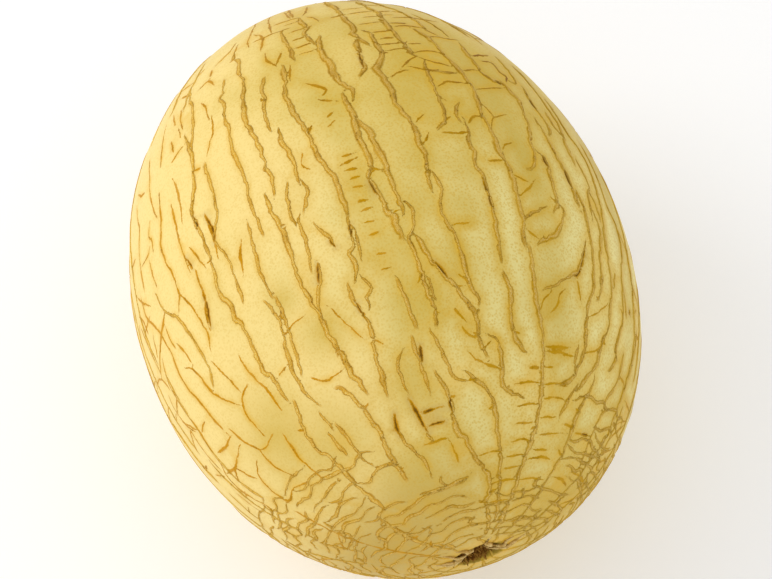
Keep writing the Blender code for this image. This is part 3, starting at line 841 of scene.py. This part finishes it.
def scar_disc(step, reach):
    """Points spread evenly over the stem scar."""
    count = round(math.pi * reach ** 2 / (POINT_AREA * step ** 2))
    number = np.arange(count) + 0.5
    flat = to_map(reach * np.sqrt(number / count) / (GIRTH / 2), number * math.pi * (3 - math.sqrt(5)))
    return from_map(flat + to_map(*np.radians(SCAR_PLACE)))


def clear_points(memory, along, around, clearance, room):
    """Which points keep this clearance from the cracks, and some room to the ring at the blossom end."""
    _, gaps = memory.nearest(body_points(along, around))
    return (gaps > clearance) & (along < math.pi - room * FAR_ANGLE)


def skin_map(cracks, memory):
    """All map points of the skin, and the edges that run along the cracks."""
    points, edges = [], []
    for _, way in cracks:
        first = len(points)
        points += to_map(way[:, 0], way[:, 1]).tolist()
        edges += [(index, index + 1) for index in range(first, len(points) - 1)]
    for kind, way in cracks:
        for reach, row in side_rows(kind, way):
            keep = clear_points(memory, *from_map(row), ROW_CLEARANCE * reach, 1.5)
            points += row[keep].tolist()
    along, around = even_skin(SKIN_STEP)
    keep = clear_points(memory, along, around, SKIN_STEP, 2.0)
    keep &= from_scar(body_points(along, around)) > SCAR_REACH
    points += to_map(along[keep], around[keep]).tolist()
    along, around = scar_disc(SCAR_STEP, SCAR_REACH)
    keep = clear_points(memory, along, around, SCAR_CLEARANCE, 2.0)
    points += to_map(along[keep], around[keep]).tolist()
    first = len(points)
    turns = np.arange(FAR_SIDES) * 2 * math.pi / FAR_SIDES
    points += to_map(np.full(FAR_SIDES, math.pi - FAR_ANGLE), turns).tolist()
    edges += [(first + side, first + (side + 1) % FAR_SIDES) for side in range(FAR_SIDES)]
    return points, edges


def dome(gap):
    """A rounded ridge: 1 at its crest, 0 from its foot outwards."""
    return np.clip(1 - gap ** 2, 0, 1) ** DOME_POWER


def hollow_depth(from_stem):
    """How deep the skin sinks round the stem scar."""
    share = np.minimum(from_stem / HOLLOW_RADIUS, 1)
    return HOLLOW_DEPTH * np.cos(math.pi / 2 * share) ** 2


def ragged(turn):
    """An uneven rim for the stem scar, between -1 and 1."""
    return 0.5 * np.sin(5 * turn + 0.7) + 0.3 * np.sin(9 * turn + 2.1) + 0.2 * np.sin(17 * turn)


def furrow_share(along, around):
    """How much each place lies in one of the lengthwise furrows."""
    turn = np.degrees(around)[:, None] - np.array(FURROWS)
    turn = (turn + 180) % 360 - 180
    return np.exp(-(turn / FURROW_WIDTH) ** 2).max(axis=1) * np.sin(along) ** 2


def pit_depth(places, from_stem):
    """How deep the ragged pit of the stem scar is at each place."""
    middle = body_points(*np.radians(SCAR_PLACE))
    turn = np.arctan2(places[:, 0] - middle[0], places[:, 2] - middle[2])
    rim = PIT_RADIUS * (1 + PIT_RAGGEDNESS * ragged(turn))
    wall = smooth((rim - from_stem) / (PIT_WALL * PIT_RADIUS))
    return (PIT_DEPTH + PIT_CRUMBS * ragged(3 * turn + 200 * from_stem)) * wall


def blossom_rim(along):
    """How high the rim round the blossom scar stands at each place."""
    from_blossom = (math.pi - along) * GIRTH / 2
    return BLOSSOM_RIM_HEIGHT * np.exp(-((from_blossom - BLOSSOM_RADIUS) / BLOSSOM_RIM_WIDTH) ** 2)


def skin_lift(places, along, furrow, near, kinds, fades):
    """How far each point of the skin stands out from the smooth body."""
    rises = np.array([RISES[kind] for kind in KINDS])[kinds]
    from_stem = from_scar(places)
    lift = rises * dome(near) * fades
    lift -= FURROW_DEPTH * furrow
    lift -= hollow_depth(from_stem)
    lift -= pit_depth(places, from_stem)
    lift += blossom_rim(along)
    return lift


def golden_share(places):
    """How much each place on the smooth body lies in a golden patch."""
    share = np.zeros(len(places))
    for along, around, reach in GOLDEN_PATCHES:
        away = np.linalg.norm(places - body_points(*np.radians((along, around))), axis=1)
        share = np.maximum(share, np.exp(-(away * 1000 / reach) ** 2))
    return share


def keep_for_paint(mesh, kept):
    """Keeps numbers at the mesh's points for its material: lengths in millimetres, the rest as shares."""
    for name, values in kept.items():
        attribute = mesh.attributes.new(name, "FLOAT", "POINT")
        attribute.data.foreach_set("value", np.asarray(values, np.float32))


def placed(name, mesh):
    """A smooth shaded object of this mesh, in the scene."""
    mesh.shade_smooth()
    made = bpy.data.objects.new(name, mesh)
    bpy.context.scene.collection.objects.link(made)
    return made


def outward_normals(mesh, places):
    """The mesh's normals, once its faces are turned outwards."""
    normals = np.empty(len(places) * 3)
    mesh.vertex_normals.foreach_get("vector", normals)
    normals = normals.reshape(-1, 3)
    if (normals * places).sum() < 0:
        mesh.flip_normals()
        normals = -normals
    return normals


def netted_skin():
    """The whole outside of the fruit in one closed mesh, which carries what its paint needs."""
    cracks = all_cracks()
    memory = CrackMemory(cracks)
    points, edges = skin_map(cracks, memory)
    flat, _, faces = delaunay_2d_cdt([tuple(point) for point in points], edges, [], 0, 1e-9, False)[:3]
    along, around = from_map(np.array(flat))
    places = body_points(along, around)
    faces = [tuple(face) for face in faces] + [tuple(far_ring(along, around))]
    mesh = bpy.data.meshes.new("melon_skin")
    mesh.from_pydata((places + SHIFT).tolist(), [], faces)
    mesh.update()
    normals = outward_normals(mesh, places)
    hits, gaps = memory.nearest(places)
    kinds, fades, widths = memory.kinds[hits], memory.fades[hits], memory.widths[hits]
    away = places - memory.places[hits]
    across = np.sign((np.cross(memory.tangents[hits], normals) * away).sum(axis=1)) * gaps
    furrow = furrow_share(along, around)
    lift = skin_lift(places, along, furrow, gaps / widths, kinds, fades)
    lifted = places + SHIFT + normals * lift[:, None]
    lifted[:, 2] = np.maximum(lifted[:, 2], 0)
    mesh.vertices.foreach_set("co", lifted.ravel())
    keep_for_paint(mesh, {
        "wide": widths * 1000,
        "gap": np.clip(gaps * 1000, 0, 8),
        "across": np.clip(across * 1000, -8, 8),
        "run": memory.runs[hits] * 1000,
        "pale": np.array([PALENESS[kind] for kind in KINDS])[kinds],
        "open": kinds == KINDS.index("dark"),
        "fade": fades,
        "furrow": furrow,
        "golden": golden_share(places),
        "stem": from_scar(places) / PIT_RADIUS,
        "blossom": (math.pi - along) * GIRTH / 2 / BLOSSOM_RADIUS,
    })
    mesh.update()
    return placed("melon_skin", mesh)


def far_ring(along, around):
    """The skin's last points, round the blossom end, in the order that closes it with one face."""
    last = np.argsort(-along)[:FAR_SIDES]
    return last[np.argsort(around[last])].tolist()


class Shade:
    """A number or colour inside a material. Sums and products of it add the nodes that work them out."""

    def __init__(self, finish, socket):
        self.finish = finish
        self.socket = socket

    def __add__(self, other):
        return self.finish.maths("ADD", self, other)

    def __sub__(self, other):
        return self.finish.maths("SUBTRACT", self, other)

    def __rsub__(self, other):
        return self.finish.maths("SUBTRACT", other, self)

    def __mul__(self, other):
        return self.finish.maths("MULTIPLY", self, other)

    def __truediv__(self, other):
        return self.finish.maths("DIVIDE", self, other)

    __radd__ = __add__
    __rmul__ = __mul__


class Finish:
    """A material under construction."""

    def __init__(self, name):
        self.material = bpy.data.materials.new(name)
        self.material.use_nodes = True
        self.tree = self.material.node_tree
        self.shader = self.tree.nodes["Principled BSDF"]

    def node(self, kind, settings, sockets):
        """Adds a node: its settings first, then the value or link of each socket, by its name or number."""
        made = self.tree.nodes.new(kind)
        for name, value in settings.items():
            setattr(made, name, value)
        for name, value in sockets.items():
            self.feed(made.inputs[name], value)
        return made

    def feed(self, socket, value):
        if isinstance(value, Shade):
            self.tree.links.new(value.socket, socket)
        else:
            socket.default_value = value

    def maths(self, operation, *values):
        made = self.node("ShaderNodeMath", {"operation": operation}, dict(enumerate(values)))
        return Shade(self, made.outputs[0])

    def attribute(self, name):
        """A number that the mesh keeps at its points."""
        return Shade(self, self.node("ShaderNodeAttribute", {"attribute_name": name}, {}).outputs["Fac"])

    def place(self):
        return Shade(self, self.node("ShaderNodeTexCoord", {}, {}).outputs["Object"])

    def grain(self, place, scale, detail=2.0, roughness=0.5):
        sockets = {"Vector": place, "Scale": scale, "Detail": detail, "Roughness": roughness}
        return Shade(self, self.node("ShaderNodeTexNoise", {}, sockets).outputs["Fac"])

    def cells(self, place, scale):
        made = self.node("ShaderNodeTexVoronoi", {}, {"Vector": place, "Scale": scale})
        return Shade(self, made.outputs["Distance"])

    def along_cork(self, run, across):
        """A place in the cork's own directions, along a crack and across it."""
        return Shade(self, self.node("ShaderNodeCombineXYZ", {}, {"X": run, "Y": across}).outputs[0])

    def step(self, value, low, high):
        """A smooth rise from 0 at low to 1 at high, or a fall where low is above high."""
        sockets = {"Value": value, "From Min": low, "From Max": high, "To Min": 0.0, "To Max": 1.0}
        made = self.node("ShaderNodeMapRange", {"interpolation_type": "SMOOTHSTEP"}, sockets)
        return Shade(self, made.outputs[0])

    def blend(self, share, first, second):
        """The first colour, turned into the second by the share."""
        made = self.node("ShaderNodeMix", {"data_type": "RGBA"}, {0: share, 6: first, 7: second})
        return Shade(self, made.outputs[2])

    def bump(self, height, depth):
        made = self.node("ShaderNodeBump", {}, {"Height": height, "Distance": depth, "Strength": 1.0})
        return Shade(self, made.outputs["Normal"])

    def use(self, sockets):
        """Feeds the material's own shader."""
        for name, value in sockets.items():
            self.feed(self.shader.inputs[name], value)


def tone(*parts):
    """A colour as it is read off a screen, from 0 to 255, in the renderer's own light values."""
    light = [((part / 255 + 0.055) / 1.055) ** 2.4 if part > 10 else part / 3295 for part in parts]
    return (*light, 1.0)


# Skin
CREAM = tone(250, 222, 142)
# Straw for the side away from the key light: partly the skin's own tone, partly painted shade
STRAW_AND_SHADE = tone(233, 206, 116)
PANEL = tone(243, 232, 160)
OLIVE = tone(212, 186, 92)
GOLD = tone(208, 166, 40)
GOLDEN = tone(204, 172, 62)
# Khaki round the stem end: partly the skin's own tone, partly painted shade
KHAKI_AND_SHADE = tone(176, 142, 44)
PORE = tone(212, 170, 56)

# Cracks and the cork on them
HALO = tone(228, 176, 36)
CORK = tone(253, 219, 120)
CORK_SHADE = tone(232, 180, 58)
# Cork on the side away from the key light, darker partly as painted shade
CORK_GREENER_AND_SHADED = tone(238, 206, 122)
CORK_SHADE_GREENER_AND_SHADED = tone(211, 168, 56)
CORK_FLECK = tone(255, 238, 190)
ORANGE_LINE = tone(208, 146, 4)
BROWN_LINE = tone(196, 148, 4)
DARK_LINE = tone(144, 98, 0)
OPEN_BROWN = tone(104, 68, 6)
SMUDGE = tone(196, 168, 104)

# Stem scar and its cork ropes
# The pit's wall: partly its own olive brown, partly painted shade
SCAR_WALL = tone(158, 130, 44)
SCAR_BROWN = tone(110, 66, 10)
SCAR_LIGHT = tone(178, 132, 52)
ROPE_LIGHT = tone(226, 196, 126)
ROPE_SHADE = tone(196, 156, 78)


def skin_finish():
    finish = Finish("netted_skin")
    place = finish.place()
    colour, greener_and_shaded_side, blossom_half, dots = bare_skin(finish, place)
    colour, cork, fibres = healed_cracks(finish, place, colour, greener_and_shaded_side, blossom_half)
    colour, pit, crumbs = scar_colour(finish, place, colour)
    height = fibres * cork * 0.8 + cork * 0.3 - dots * 0.10 + crumbs * pit * 1.6
    finish.use({
        "Base Color": colour,
        "Roughness": cork * 0.25 + pit * 0.3 + 0.42,
        "Normal": finish.bump(height, 0.0004),
        "Specular IOR Level": 0.05,
    })
    return finish.material


def bare_skin(finish, place):
    """Cream skin that turns straw and olive towards one side, khaki round the stem, with fine pores.

    The straw and olive side, away from the key light, is partly the skin's own tone and partly painted
    shade.
    The khaki round the stem is partly the skin's own tone and partly painted shade of the lower end.
    It also gives how much each place is on that side, in the blossom half and in a pore.
    """
    axes = finish.node("ShaderNodeSeparateXYZ", {}, {"Vector": place}).outputs
    side, length = Shade(finish, axes["X"]), Shade(finish, axes["Y"])
    patches = finish.grain(place, 26.0, 3.0)
    # How much a place lies on the side away from the key light, painted more green and darker: partly its
    # own tone, partly painted shade
    greener_and_shaded_side = finish.step(side + (patches - 0.5) * 0.09, -0.06, 0.035)
    blossom_half = finish.step(length, -0.030, 0.050)
    furrow = finish.attribute("furrow")
    gap = finish.attribute("gap")

    colour = finish.blend(greener_and_shaded_side, CREAM, STRAW_AND_SHADE)
    panel = finish.step(gap, 0.6, 4.5) * greener_and_shaded_side * (1 - blossom_half)
    colour = finish.blend(panel * 0.75, colour, PANEL)
    # Olive in the blossom half and along the furrows: partly the skin's own tone, partly painted shade
    olive = greener_and_shaded_side * (finish.step(patches, 0.40, 0.66) * 0.35 + blossom_half * 0.50 + furrow * 0.6)
    colour = finish.blend(olive, colour, OLIVE)
    colour = finish.blend(finish.attribute("golden") * (patches * 0.7 + 0.2), colour, GOLDEN)
    clouds = finish.step(finish.grain(place, 48.0), 0.38, 0.66)
    beside_crack = finish.step(gap, 3.6, 0.4) * (greener_and_shaded_side * 0.7 + 0.3) * clouds
    colour = finish.blend(beside_crack * 0.5, colour, GOLD)
    # Khaki round the stem end: partly the skin's own tone, partly painted shade of the lower end, which
    # turns away from the light
    stem_end_khaki_and_shade = finish.step(finish.attribute("stem"), 7.6, 3.8) * (1 - greener_and_shaded_side * 0.78)
    colour = finish.blend(stem_end_khaki_and_shade * 0.72, colour, KHAKI_AND_SHADE)

    dots = finish.step(finish.cells(place, 1250.0), 0.66, 0.16)
    uneven = finish.step(finish.grain(place, 420.0), 0.26, 0.60)
    dots = dots * (uneven * 0.7 + 0.3)
    colour = finish.blend(dots * (greener_and_shaded_side * 0.34 + 0.22), colour, PORE)
    return colour, greener_and_shaded_side, blossom_half, dots


class NearestCrack:
    """What the skin keeps of the nearest crack at each place, and the grain that makes it uneven.

    near counts from 0 on the crack to 1 at the edge of its cork, and mark is how much a place is cracked.
    """

    def __init__(self, finish, place):
        self.gap = finish.attribute("gap")
        self.pale = finish.attribute("pale")
        self.opened = finish.attribute("open")
        self.fade = finish.attribute("fade")
        self.run = finish.attribute("run")
        self.across = finish.attribute("across")
        fine, finer = finish.grain(place, 620.0, 1.0), finish.grain(place, 1900.0, 1.0)
        bends = (fine - 0.5) * 0.5 + (finer - 0.5) * 0.5
        fuller = finish.step(finish.grain(place, 170.0, 1.0), 0.36, 0.62)
        self.near = (self.gap + bends) / (finish.attribute("wide") * (fuller * 0.5 + 0.64))
        self.uneven = finish.step(finish.grain(place, 230.0, 2.0), 0.34, 0.64)
        self.stretches = finish.grain(finish.along_cork(self.run * 0.16, self.pale * 9), 1.0, 2.0)
        healed = finish.step(self.fade + self.uneven * 0.3, 0.05, 0.5)
        self.mark = finish.step(self.near, 1.65, 0.85) * healed
        self.fibres = finish.grain(finish.along_cork(self.run * 1.6, self.across * 5.0), 1.0, 3.0, 0.65)


def stained_skin(finish, place, crack, skin):
    """Golden halos beside the cracks, and smudges beside the open ones."""
    clouds = finish.step(finish.grain(place, 110.0), 0.36, 0.64)
    halo = finish.step(crack.gap, 2.0, 0.1) * clouds * crack.fade
    colour = finish.blend(halo * 0.52, skin, HALO)
    return finish.blend(crack.opened * finish.step(crack.gap, 1.9, 0.5) * 0.3, colour, SMUDGE)


def line_colour(finish, crack, greener_and_shaded_side, shaded, shade):
    """The crack itself: orange or brown, darker in stretches, and softer on one side of its cork.

    It is darker still as painted shade on the more green side of the blossom half, and the darker edge left
    on the other side of the cork is painted shade of its flank.
    """
    line = finish.blend(finish.step(greener_and_shaded_side + crack.uneven * 0.3, 0.2, 1.2), ORANGE_LINE, BROWN_LINE)
    # Darker in stretches, and darker still where the painted shade falls
    darker = finish.step(crack.stretches + crack.uneven * 0.08, 0.54, 0.70) * 0.36 + shaded * 0.64
    line = finish.blend(darker, line, DARK_LINE)
    # The side of the cork that keeps the darker edge is chosen at random along the crack: painted shade of
    # its flank
    lean = finish.step(finish.grain(finish.along_cork(crack.run * 0.07, 7.0), 1.0, 0.0), 0.44, 0.56)
    unshaded_side = finish.step(crack.across * (lean * 2 - 1), -0.15, 0.30)
    return finish.blend(crack.pale * (unshaded_side * 0.55 + 0.12), line, shade)


def cork_colour(finish, crack, light, shade, line):
    """Pale fibrous cork with lighter flecks, and strands as dark as the crack."""
    strands = finish.grain(finish.along_cork(crack.run * 0.3, crack.across * 3.6), 1.0, 1.0)
    colour = finish.blend(finish.step(crack.fibres, 0.38, 0.58), shade, light)
    colour = finish.blend(finish.step(crack.fibres, 0.60, 0.68) * 0.75, colour, CORK_FLECK)
    return finish.blend(finish.step(strands, 0.55, 0.64) * 0.6, colour, line)


def healed_cracks(finish, place, skin, greener_and_shaded_side, blossom_half):
    """Golden cracks whose wider ones carry pale cork, and open ones that are brown inside.

    It also gives how much each place is raised cork, and the cork's fibres.
    """
    crack = NearestCrack(finish, place)
    # Painted shade on the more green side of the blossom half: darker cracks and less pale cork there
    shaded = greener_and_shaded_side * blossom_half
    light = finish.blend(greener_and_shaded_side, CORK, CORK_GREENER_AND_SHADED)
    shade = finish.blend(greener_and_shaded_side, CORK_SHADE, CORK_SHADE_GREENER_AND_SHADED)
    line = line_colour(finish, crack, greener_and_shaded_side, shaded, shade)
    colour = stained_skin(finish, place, crack, skin)
    colour = finish.blend(crack.mark * (crack.uneven * 0.14 + 0.86), colour, line)

    crest = finish.step(crack.near + (crack.fibres - 0.5) * 1.5, 0.88, 0.46)
    # Less pale cork where the painted shade falls
    cork = crest * crack.pale * crack.fade * (1 - greener_and_shaded_side * 0.2 - shaded * 0.3)
    cork = cork * (1 - finish.step(crack.stretches, 0.52, 0.66) * 0.5)
    colour = finish.blend(cork, colour, cork_colour(finish, crack, light, shade, line))

    dots = finish.step(finish.grain(place, 1500.0), 0.60, 0.68)
    specks = dots * finish.step(crack.stretches, 0.48, 0.60) * crack.mark
    groove = finish.step(crack.near, 0.85, 0.30) * crack.opened * crack.fade
    colour = finish.blend(groove * 0.85 + specks * 0.6, colour, OPEN_BROWN)
    return colour, crack.mark * (1 - crack.opened) * (crack.pale * 0.8 + 0.2), crack.fibres


def scar_colour(finish, place, skin):
    """Brown in the stem scar, yellower skin round it, and a small corky ring round the blossom scar.

    It also gives how much each place is in the stem scar, and the crumbs in there.
    """
    stem = finish.attribute("stem")
    blossom = finish.attribute("blossom")
    crumbs = finish.grain(place, 620.0, 3.0, 0.7)
    ragged_edge = (finish.grain(place, 330.0) - 0.5) * 0.5
    colour = finish.blend(finish.step(stem, 1.9, 1.1) * 0.5, skin, HALO)
    pit = finish.step(stem + ragged_edge, 1.12, 0.92)
    scar = finish.blend(finish.step(crumbs, 0.4, 0.7), SCAR_BROWN, SCAR_LIGHT)
    # The pit's wall is olive brown: partly its own tone, partly painted shade of the recessed wall
    scar = finish.blend(finish.step(stem + ragged_edge * 0.5, 0.72, 0.92), scar, SCAR_WALL)
    colour = finish.blend(pit, colour, scar)
    bud = finish.step(blossom + ragged_edge * 0.5, 1.25, 0.9)
    colour = finish.blend(bud * 0.8, colour, CORK_SHADE)
    tip = finish.step(blossom + ragged_edge * 0.4, 0.42, 0.22)
    return finish.blend(tip * 0.8, colour, SCAR_LIGHT), pit, crumbs


def stem_fibres():
    """Dark torn strands that fill the stem scar, from the bundle that once fed the fruit."""
    rng = random.Random(SEED + 2)
    shape = bmesh.new()
    depth = HOLLOW_DEPTH + PIT_DEPTH + FIBRE_ROOT
    floor = Vector(body_points(*np.radians(SCAR_PLACE))) + Vector((0, depth, 0))
    for _ in range(FIBRES):
        reach = CLUMP_RADIUS * math.sqrt(rng.random())
        turn = rng.uniform(0, 2 * math.pi)
        across, up = CLUMP_MIDDLE[0] + reach * math.sin(turn), CLUMP_MIDDLE[1] + reach * math.cos(turn)
        root = floor + Vector((across, 0, up))
        lean = Vector((rng.uniform(-1, 1), 0, rng.uniform(-1, 1))) * FIBRE_LEAN
        rise = rng.uniform(*FIBRE_RISES)
        middle = root + lean * 0.3 + Vector((0, -rise * 0.6, 0))
        side, up = rng.uniform(-1, 1) * FIBRE_TIP_SPREAD, rng.uniform(-1, 1) * FIBRE_TIP_SPREAD
        tip = root + lean + Vector((side, -rise, up))
        strand(shape, (root, middle, tip), rng.uniform(*FIBRE_RADII), FIBRE_TAPER)
    return piece_of("stem_fibres", shape)


def rim_ropes():
    """Pale cork ropes that run over the stem scar's upper rim and end in its fibres."""
    rng = random.Random(SEED + 4)
    shape = bmesh.new()
    for turn in ROPE_TURNS:
        spine = []
        start = rng.uniform(*ROPE_STARTS)
        for share, depth in ROPE_COURSE:
            reach = (ROPE_EDGE + share * (start - ROPE_EDGE)) * PIT_RADIUS
            flat = to_map(reach / (GIRTH / 2), math.radians(turn + rng.uniform(-ROPE_WANDER, ROPE_WANDER)))
            place = body_points(*from_map(flat[None] + to_map(*np.radians(SCAR_PLACE))))[0]
            spine.append(Vector(place) + Vector((0, hollow_depth(reach) + depth, 0)))
        strand(shape, spine, rng.uniform(*ROPE_RADII), ROPE_SWELL)
    return piece_of("rim_ropes", shape)


def piece_of(name, shape):
    """A piece of what was built round the body's own middle, moved to where the fruit lies."""
    mesh = bpy.data.meshes.new(name)
    shape.to_mesh(mesh)
    shape.free()
    mesh.transform(Matrix.Translation(SHIFT))
    return placed(name, mesh)


def strand(shape, spine, radius, shares):
    """One closed strand of six sides, whose radius takes a share at each point of its spine."""
    rings = []
    for number, (place, share) in enumerate(zip(spine, shares)):
        way = spine[min(number + 1, len(spine) - 1)] - spine[max(number - 1, 0)]
        turn = way.to_track_quat("Z", "Y")
        turned = []
        for side in range(STRAND_SIDES):
            angle = side * 2 * math.pi / STRAND_SIDES
            offset = turn @ Vector((math.cos(angle), math.sin(angle), 0))
            turned.append(shape.verts.new(place + offset * radius * share))
        rings.append(turned)
    for lower, upper in zip(rings, rings[1:]):
        for side in range(STRAND_SIDES):
            after = (side + 1) % STRAND_SIDES
            shape.faces.new((lower[side], lower[after], upper[after], upper[side]))
    shape.faces.new(rings[0][::-1])
    shape.faces.new(rings[-1])


def fibre_finish():
    finish = Finish("stem_fibres")
    place = finish.place()
    crumbs = finish.grain(place, 480.0, 3.0, 0.7)
    finish.use({
        "Base Color": finish.blend(finish.step(crumbs, 0.42, 0.66), SCAR_BROWN, SCAR_LIGHT),
        "Roughness": 0.8,
        "Normal": finish.bump(finish.grain(place, 1500.0, 2.0), 0.0003),
        "Specular IOR Level": 0.1,
    })
    return finish.material


def rope_finish():
    finish = Finish("rim_ropes")
    place = finish.place()
    fibres = finish.grain(place, 900.0, 3.0, 0.6)
    finish.use({
        "Base Color": finish.blend(finish.step(fibres, 0.40, 0.62), ROPE_SHADE, ROPE_LIGHT),
        "Roughness": 0.7,
        "Normal": finish.bump(fibres, 0.0004),
        "Specular IOR Level": 0.18,
    })
    return finish.material


def dress_melon():
    skin = netted_skin()
    skin.data.materials.append(skin_finish())
    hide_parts("melon")
    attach(skin, "root")
    for piece, finish in ((stem_fibres(), fibre_finish()), (rim_ropes(), rope_finish())):
        piece.data.materials.append(finish)
        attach(piece, "root")


def pale_floor():
    mesh = bpy.data.meshes.new("floor")
    corners = [(x * FLOOR_HALF, y * FLOOR_HALF, 0) for x, y in ((-1, -1), (1, -1), (1, 1), (-1, 1))]
    mesh.from_pydata(corners, [], [(0, 1, 2, 3)])
    floor = placed("floor", mesh)
    finish = Finish("pale_floor")
    finish.use({
        "Base Color": (0.9, 0.9, 0.9, 1.0),
        "Roughness": 0.9,
        "Emission Color": (1.0, 1.0, 1.0, 1.0),
        "Emission Strength": FLOOR_GLOW,
    })
    mesh.materials.append(finish.material)


def view_axes():
    """The camera's directions to the right, up and back."""
    azimuth, height = math.radians(CAMERA_AZIMUTH), math.radians(CAMERA_HEIGHT)
    back = Vector((
        math.sin(azimuth) * math.cos(height), -math.cos(azimuth) * math.cos(height), math.sin(height),
    ))
    right = Vector((math.cos(azimuth), math.sin(azimuth), 0))
    return right, back.cross(right), back


def photo_camera():
    right, up, back = view_axes()
    camera = bpy.data.objects.new("camera", bpy.data.cameras.new("camera"))
    bpy.context.scene.collection.objects.link(camera)
    turn = Matrix((right, up, back)).transposed().to_4x4()
    camera.matrix_world = Matrix.Translation(Vector(SHIFT) + back * CAMERA_DISTANCE) @ turn
    lens = camera.data
    lens.sensor_width = SENSOR
    lens.lens = FOCAL_PIXELS * SENSOR / PICTURE[0]
    lens.shift_x = (PICTURE[0] / 2 - CENTRE_PIXEL[0]) / PICTURE[0]
    lens.shift_y = (CENTRE_PIXEL[1] - PICTURE[1] / 2) / PICTURE[0]
    lens.clip_start = 0.05
    bpy.context.scene.camera = camera


def soft_light(name, place, size, power):
    """A square panel that faces the fruit."""
    lamp = bpy.data.lights.new(name, "AREA")
    lamp.energy = power
    lamp.size = size
    panel = bpy.data.objects.new(name, lamp)
    bpy.context.scene.collection.objects.link(panel)
    panel.location = place
    panel.rotation_euler = (Vector(KEY_TARGET) - Vector(place)).to_track_quat("-Z", "Y").to_euler()


def studio_light():
    """White surroundings and one large panel over the camera's left shoulder."""
    world = bpy.data.worlds.new("studio")
    world.use_nodes = True
    background = world.node_tree.nodes["Background"].inputs
    background["Color"].default_value = (1.0, 1.0, 1.0, 1.0)
    background["Strength"].default_value = SURROUNDINGS
    bpy.context.scene.world = world
    right, up, back = view_axes()
    place = KEY_PLACE[0] * right + KEY_PLACE[1] * up + KEY_PLACE[2] * back
    soft_light("key", tuple(place), KEY_SIZE, KEY_POWER)
    bpy.context.scene.view_settings.view_transform = "Standard"
    bpy.context.scene.view_settings.look = "None"


dress_melon()
pale_floor()
photo_camera()
studio_light()
